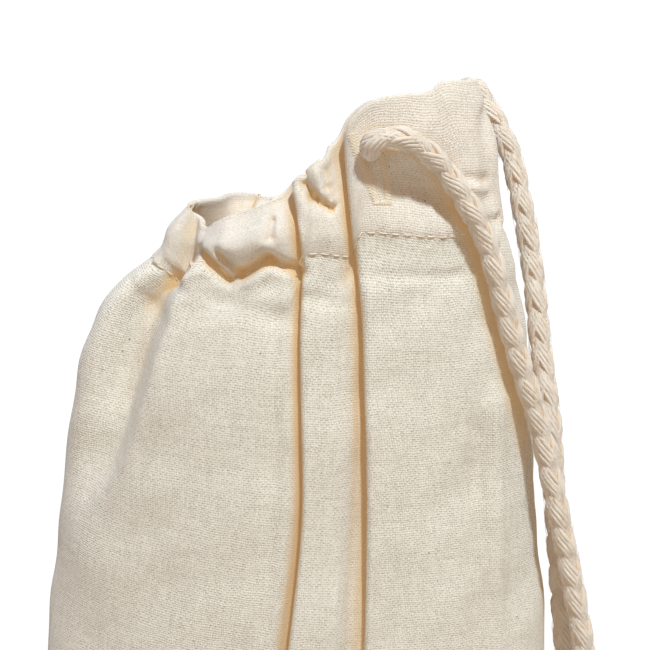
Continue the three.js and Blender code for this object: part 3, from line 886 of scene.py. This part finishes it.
# %% The calico's threads
# Unbleached cotton calico, plain-woven and washed: matt and cream, with a fine grid of threads.
calico, calico_shader = new_material("unbleached cotton calico", [cloth])
PITCH = 0.6225  # mm from thread to thread, about 16 to the centimetre
SKEW = 0.114  # the weft runs a little downhill to the right
WOBBLE = 0.13  # waves to a thread's width: the threads sway over about 5 mm
SWAY = 2.2  # how far they sway, in threads
ALONG = 0.07  # how slowly a thread's tone changes along it
OWN_TONE = 3.7  # how far apart two threads' tones are taken from the noise

uv = add(calico, "UVMap", uv_map="threads")
threads = add(calico, "Mapping", {"Vector": uv, "Scale": (MAP_WIDTH / PITCH, MAP_LENGTH / PITCH, 1)})
wobble = add(calico, "TexNoise", {"Vector": threads, "Scale": WOBBLE, "Detail": 3})
shift = add(calico, "VectorMath", (wobble.outputs["Color"], (0.5, 0.5, 0.5)), operation="SUBTRACT")
shift = add(calico, "VectorMath", {0: shift, "Scale": SWAY}, operation="SCALE")
shifted = add(calico, "VectorMath", (threads, shift), operation="ADD")
axes = add(calico, "SeparateXYZ", (shifted,))
across = axes.outputs["X"]
up = add(calico, "Math", (across, SKEW, axes.outputs["Y"]), operation="MULTIPLY_ADD")

turn_across = add(calico, "Math", (across, math.pi), operation="MULTIPLY")
turn_up = add(calico, "Math", (up, math.pi), operation="MULTIPLY")
wave_across = add(calico, "Math", (turn_across,), operation="SINE")
wave_up = add(calico, "Math", (turn_up,), operation="SINE")
crossing = add(calico, "Math", (wave_across, wave_up), operation="MULTIPLY")
warp_round = add(calico, "Math", (wave_across,), operation="ABSOLUTE")
weft_round = add(calico, "Math", (wave_up,), operation="ABSOLUTE")
warp = add(calico, "Math", (warp_round, crossing), operation="ADD")
weft = add(calico, "Math", (weft_round, crossing), operation="SUBTRACT")
upper = add(calico, "Math", (warp, weft), operation="MAXIMUM")
weave = add(calico, "Math", (upper, 0.5), operation="MULTIPLY")
warp_on_top = add(calico, "Math", (warp, weft), operation="GREATER_THAN")

warp_number = add(calico, "Math", (across,), operation="FLOOR")
weft_number = add(calico, "Math", (up,), operation="FLOOR")
warp_apart = add(calico, "Math", (warp_number, OWN_TONE), operation="MULTIPLY")
weft_apart = add(calico, "Math", (weft_number, OWN_TONE), operation="MULTIPLY")
up_slowly = add(calico, "Math", (up, ALONG), operation="MULTIPLY")
across_slowly = add(calico, "Math", (across, ALONG), operation="MULTIPLY")
warp_place = add(calico, "CombineXYZ", (warp_apart, up_slowly))
weft_place = add(calico, "CombineXYZ", (across_slowly, weft_apart, 5))
warp_tone = add(calico, "TexNoise", {"Vector": warp_place, "Scale": 1, "Detail": 2})
weft_tone = add(calico, "TexNoise", {"Vector": weft_place, "Scale": 1, "Detail": 2})
own_tones = {"Factor": warp_on_top, "A": warp_tone.outputs["Fac"], "B": weft_tone.outputs["Fac"]}
tone = add(calico, "Mix", own_tones)

# %% [markdown]
# ## Calico: painted shade between the threads
# From nearby the weave shows as small dark dots, and no two are alike. They are painted shade: some lie in
# the gaps where four threads meet, the others where a warp thread dives under a weft thread and its end
# faces down, away from the light. Each dot has its own random darkness, and they are fainter in the hem,
# which has a second layer behind it.

# %% Painted shade in the gaps between the threads
column_line = add(calico, "Math", (across,), operation="ROUND")
row_line = add(calico, "Math", (up,), operation="ROUND")
corner_place = add(calico, "CombineXYZ", (column_line, row_line))
corner = add(calico, "TexWhiteNoise", {"Vector": corner_place})
corner_dark = add(calico, "Math", (corner.outputs["Value"], 0.5, 0.05), operation="MULTIPLY_ADD")
low = add(calico, "MapRange", {"Value": weave, "From Min": 0.1, "From Max": 0.6, "To Min": 1, "To Max": 0})
gaps = add(calico, "Math", (low, corner_dark), operation="MULTIPLY")

cosine_up = add(calico, "Math", (turn_up,), operation="COSINE")
dive = add(calico, "Math", (wave_across, cosine_up), operation="MULTIPLY")
dive = add(calico, "MapRange", {"Value": dive, "From Min": 0.55, "From Max": 0.95})
dive_place = add(calico, "CombineXYZ", (warp_number, row_line, 3))
dive_chance = add(calico, "TexWhiteNoise", {"Vector": dive_place})
dive_chance = add(calico, "Math", (dive_chance.outputs["Value"], 2), operation="POWER")
dive_dark = add(calico, "Math", (dive_chance, 0.85, 0.15), operation="MULTIPLY_ADD")
dives = add(calico, "Math", (dive, dive_dark), operation="MULTIPLY")
# painted shade: dark dots where shade falls in the gaps and at the dives
gap_shade = add(calico, "Math", (gaps, dives), operation="MAXIMUM")

height = add(calico, "SeparateXYZ", {"Vector": uv}).outputs["Y"]
in_hem = {"From Min": map_height(0), "From Max": map_height(4), "To Min": 1, "To Max": 0.65}
fainter = add(calico, "MapRange", {"Value": height, **in_hem})
gap_shade = add(calico, "Math", (gap_shade, fainter), operation="MULTIPLY")

# %% [markdown]
# ## Calico: colour and light
# The colour runs from a grey-brown in the dots of painted shade to cream on the threads, with a soft mottle
# as washed cotton has. The hem is two layers, so it is a little creamier. Thin cotton also lets light
# through: in a narrow fold light has passed the cloth many times, and the fold glows warm instead of grey.
# True scattering is slow and grainy in so thin a sheet. So the ambient occlusion node finds how deep in a
# fold a point lies, mixes a tan in there as painted shade, and adds a painted warm glow there by emission.
# The inside of the hem gets some painted glow too, because its back is lit from outside.

# %% The calico's colour and relief
mottle = add(calico, "TexNoise", {"Vector": threads, "Scale": 0.03, "Detail": 2})  # patches of about 20 mm
tone_light = add(calico, "Math", (tone, 0.8, 0.33), operation="MULTIPLY_ADD")
mottled = add(calico, "Math", (mottle.outputs["Fac"], 0.22, tone_light), operation="MULTIPLY_ADD")
# the painted shade of the gaps darkens the colour here
painted_gap_shade = add(calico, "Math", (gap_shade, -1.35), operation="MULTIPLY")
lightness = add(calico, "Math", (mottled, painted_gap_shade), operation="ADD")
colour = add(calico, "ValToRGB", (lightness,))
set_stops(colour, (0.05, "#afa495"), (1.0, "#eee9df"))
doubled = add(calico, "MapRange", {"Value": height, "From Min": map_height(0), "From Max": map_height(0.8)})
creamy = add(calico, "Mix", {"Factor": doubled, "A": colour.outputs["Color"], "B": linear("#fffbfa")},
             data_type="RGBA", blend_type="MULTIPLY")

thick_thin = add(calico, "Math", (tone, 1.1), operation="MULTIPLY")
relief = add(calico, "Math", (weave, thick_thin), operation="ADD")
bump = add(calico, "Bump", {"Height": relief, "Strength": 0.5, "Distance": 0.3 * MM})

# %% Painted shade and painted warm glow in the calico's folds
# painted shade and glow: ambient occlusion marks the folds, which get a tan colour and an emission
deep = add(calico, "AmbientOcclusion", {"Distance": 6 * MM}, samples=6)
deep = add(calico, "MapRange", {"Value": deep.outputs["AO"], "From Min": 0.9, "From Max": 0.38},
           interpolation_type="SMOOTHSTEP")
painted_fold_shade = add(calico, "Mix", {"Factor": deep, "A": creamy.outputs[2], "B": linear("#c2a473")},
             data_type="RGBA")
# painted glow on the inside of the hem as well
within = add(calico, "MapRange", {"Value": height, "From Min": map_height(37.2), "From Max": map_height(44)})
painted_fold_glow = add(calico, "Math", (deep, 0.62), operation="MULTIPLY")
painted_glow = add(calico, "Math", (within, 0.33, painted_fold_glow), operation="MULTIPLY_ADD")
feed(calico, calico_shader, {
    "Base Color": painted_fold_shade.outputs[2], "Roughness": 0.92, "Specular IOR Level": 0.2,
    "Sheen Weight": 0.15, "Sheen Roughness": 0.5, "Normal": bump,
    "Emission Color": linear("#957c5c"), "Emission Strength": painted_glow,
})

# %% [markdown]
# ## Sewing thread and seed husk
# Both are too small to show a pattern, so one colour each is enough. The thread is combed and
# tightly twisted, which makes it a little smoother and brighter than the cloth. The husk is dry
# and dull.

# %% Sewing thread and husk
# Cream cotton thread, spun tight: every stitch catches a little light.
sewing, sewing_shader = new_material("cream cotton thread", [hem_stitches, buttonhole])
feed(sewing, sewing_shader, {"Base Color": linear("#efe6d6"), "Roughness": 0.7, "Specular IOR Level": 0.3})
# Crumbs of cotton seed husk, left by the gin: matt brown specks.
husk, husk_shader = new_material("cotton seed husk", [flecks])
feed(husk, husk_shader, {"Base Color": linear("#8a7257"), "Roughness": 0.8})

# %% [markdown]
# ## String
# The string's yarns are carded cotton with hardly any twist, so their fibres lie along the yarn and leave
# fine ridges. The yarn's own UV map runs along and round it, and a noise that is long one way and short the
# other makes them as a bump, because they are far too fine to model. The colour is a little blotchy, as
# cotton that nobody bleached or dyed is. Sheen gives the pale bloom of its fuzz. The deep places between the
# strands get painted shade, a tan, and a painted warm glow by emission, as the calico's folds do.

# %% String
# Soft cotton yarn, carded and braided: pale, matt and finely ridged, with a bloom of loose fibres.
string, string_shader = new_material("soft cotton yarn", [string_front, string_back])
RIDGES = (260, 9, 1)  # along a yarn and round it: each is about 1 mm by 0.4 mm
BLOTCHES = 260  # to a metre, so each is about 4 mm

yarn_uv = add(string, "UVMap", uv_map="UVMap")
fibre_place = add(string, "Mapping", {"Vector": yarn_uv, "Scale": RIDGES})
fibres = add(string, "TexNoise", {"Vector": fibre_place, "Scale": 1, "Detail": 3})
string_place = add(string, "TexCoord").outputs["Object"]
blotch = add(string, "TexNoise", {"Vector": string_place, "Scale": BLOTCHES, "Detail": 2})
yarn_light = add(string, "Math", (blotch.outputs["Fac"], 0.7, 0.5), operation="MULTIPLY_ADD")
yarn_colour = add(string, "ValToRGB", (yarn_light,))
set_stops(yarn_colour, (0.35, "#bfae9b"), (0.85, "#dcd1c5"))
yarn_bump = add(string, "Bump", {"Height": fibres.outputs["Fac"], "Strength": 0.6, "Distance": 0.3 * MM})
# painted shade and glow: a tan and an emission where the strands close in round a point
between = add(string, "AmbientOcclusion", {"Distance": 1.8 * MM}, samples=4)
between = add(string, "MapRange", {"Value": between.outputs["AO"], "From Min": 0.75, "From Max": 0.3,
                                   "To Max": 0.7})
yarn_and_painted_shade = {"Factor": between, "A": yarn_colour.outputs["Color"], "B": linear("#d0ab79")}
painted_yarn_shade = add(string, "Mix", yarn_and_painted_shade, data_type="RGBA")
painted_yarn_glow = add(string, "Math", (between, 0.75), operation="MULTIPLY")
feed(string, string_shader, {
    "Base Color": painted_yarn_shade.outputs[2], "Roughness": 0.95, "Specular IOR Level": 0.15,
    "Sheen Weight": 0.3, "Sheen Roughness": 0.6, "Normal": yarn_bump,
    "Emission Color": linear("#958065"), "Emission Strength": painted_yarn_glow,
})

# %% [markdown]
# ## The floor
# The picture is a bright packshot: all round the bag is plain white. A white floor would throw too
# much light up at the cloth. So the floor is pale paper near the bag, and turns into even white
# further out, for the camera only.

# %% Floor
FLOOR = 4  # m from its middle to its edge
PAPER_ENDS = (0.2, 0.37)  # m from the bag's middle, where the paper starts to fade and where it is white
WHITE_LIGHT = 1.05  # just over 1, so that white is white everywhere

bm = bmesh.new()
bmesh.ops.create_grid(bm, x_segments=1, y_segments=1, size=FLOOR)
floor_mesh = bpy.data.meshes.new("floor")
bm.to_mesh(floor_mesh)
bm.free()
floor = bpy.data.objects.new("floor", floor_mesh)
bpy.context.scene.collection.objects.link(floor)

# Pale paper, uncoated and smooth: it takes soft shadows and has no shine.
paper, paper_shader = new_material("pale paper", [floor])
feed(paper, paper_shader, {"Base Color": linear("#c9c0b4"), "Roughness": 1})
floor_place = add(paper, "TexCoord").outputs["Object"]
distance = add(paper, "VectorMath", (floor_place,), operation="LENGTH").outputs["Value"]
far = add(paper, "MapRange", {"Value": distance, "From Min": PAPER_ENDS[0], "From Max": PAPER_ENDS[1]},
          interpolation_type="SMOOTHSTEP")
seen_floor = add(paper, "LightPath").outputs["Is Camera Ray"]
fade = add(paper, "Math", (far, seen_floor), operation="MULTIPLY")
white_floor = add(paper, "Emission", {"Color": linear("#ffffff"), "Strength": WHITE_LIGHT})
faded = add(paper, "MixShader", (fade, paper_shader, white_floor))
feed(paper, paper.node_tree.nodes["Material Output"], {"Surface": faded})

# %% [markdown]
# ## The light
# The string's shadow on the cloth is dark with a fairly sharp edge, and falls to the left and
# down. So one lamp does most of the work, from the front, right and above. It is near, because the
# picture gets darker downwards: from 1.3 m the foot is further from the lamp than the mouth. The
# sky fills the shadows. In front it is dim and warm, like light that comes back from a table, and
# at the back and left it is pale blue, which shows at the bag's far edges. The camera sees white
# instead.

# %% Sky
sky = bpy.data.worlds.new("studio")
sky.use_nodes = True
bpy.context.scene.world = sky
direction = add(sky, "SeparateXYZ", (add(sky, "TexCoord").outputs["Generated"],))
leftwards = add(sky, "Math", (direction.outputs["X"], -0.24, 0.5), operation="MULTIPLY_ADD")
coolness = add(sky, "Math", (direction.outputs["Y"], 0.47, leftwards), operation="MULTIPLY_ADD")
sky_colour = add(sky, "ValToRGB", (coolness,))
set_stops(sky_colour, (0.45, "#a48057"), (0.75, "#dae7fb"))
lighting = sky.node_tree.nodes["Background"]
feed(sky, lighting, {"Color": sky_colour, "Strength": 1})
white_sky = add(sky, "Background", {"Color": linear("#ffffff"), "Strength": WHITE_LIGHT})
seen_sky = add(sky, "LightPath").outputs["Is Camera Ray"]
both = add(sky, "MixShader", (seen_sky, lighting, white_sky))
feed(sky, sky.node_tree.nodes["World Output"], {"Surface": both})
bpy.context.scene.view_settings.view_transform = "Standard"

# %% Lamp
LIT = Vector((10, -20, 275)) * MM  # what it shines at, the front of the mouth
TO_RIGHT = math.radians(20)  # from straight in front
ABOVE = math.radians(56)
LAMP_FROM = 1.3  # m
LAMP_WIDTH = math.radians(5)  # as seen from the mouth
LAMP_LIGHT = 1.25  # on a face turned to it at the mouth, against 1 for the sky's brightest

lamp_data = bpy.data.lights.new("front lamp", "POINT")
lamp_data.energy = LAMP_LIGHT * math.pi * 4 * math.pi * LAMP_FROM**2
lamp_data.shadow_soft_size = LAMP_FROM * LAMP_WIDTH / 2
lamp_data.color = linear("#e9f8ff")[:3]
lamp = bpy.data.objects.new("front lamp", lamp_data)
level_part = math.cos(ABOVE)
lamp.location = LIT + LAMP_FROM * Vector(
    (math.sin(TO_RIGHT) * level_part, -math.cos(TO_RIGHT) * level_part, math.sin(ABOVE)))
bpy.context.scene.collection.objects.link(lamp)
print("lamp at", tuple(round(c, 2) for c in lamp.location))
